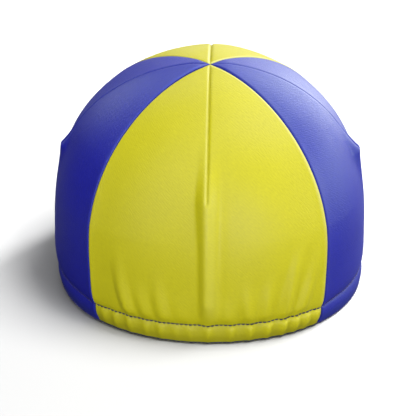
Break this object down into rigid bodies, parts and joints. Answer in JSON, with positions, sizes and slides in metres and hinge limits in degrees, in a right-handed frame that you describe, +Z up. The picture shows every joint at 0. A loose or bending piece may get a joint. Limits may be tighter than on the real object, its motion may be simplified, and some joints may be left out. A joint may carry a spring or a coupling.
{
  "type": "cycling cap",
  "caption": "Soft panelled cap with darted crown, gathered elastic hem at the back and a short curved peak over the brow.",
  "frame": {"origin": "on the surface that the cap stands on, under the middle of its box", "axes": "+Z up, +Y towards the wearer's front, where the peak is, and +X to the wearer's right"},
  "size_m": [0.172, 0.2329, 0.1286],
  "materials": {
    "yellow_cloth": "fine woven twill with a soft sheen",
    "blue_cloth": "fine woven twill with a soft sheen",
    "peak_cloth": "the same twill over a stiff core, stitched in rows"
  },
  "bodies": {
    "root": {"panel_back": "yellow_cloth", "panel_front": "yellow_cloth", "panel_left": "blue_cloth", "panel_right": "blue_cloth", "hem_back": "yellow_cloth", "hem_front": "yellow_cloth", "hem_left": "blue_cloth", "hem_right": "blue_cloth", "peak": "peak_cloth"}
  },
  "joints": []
}
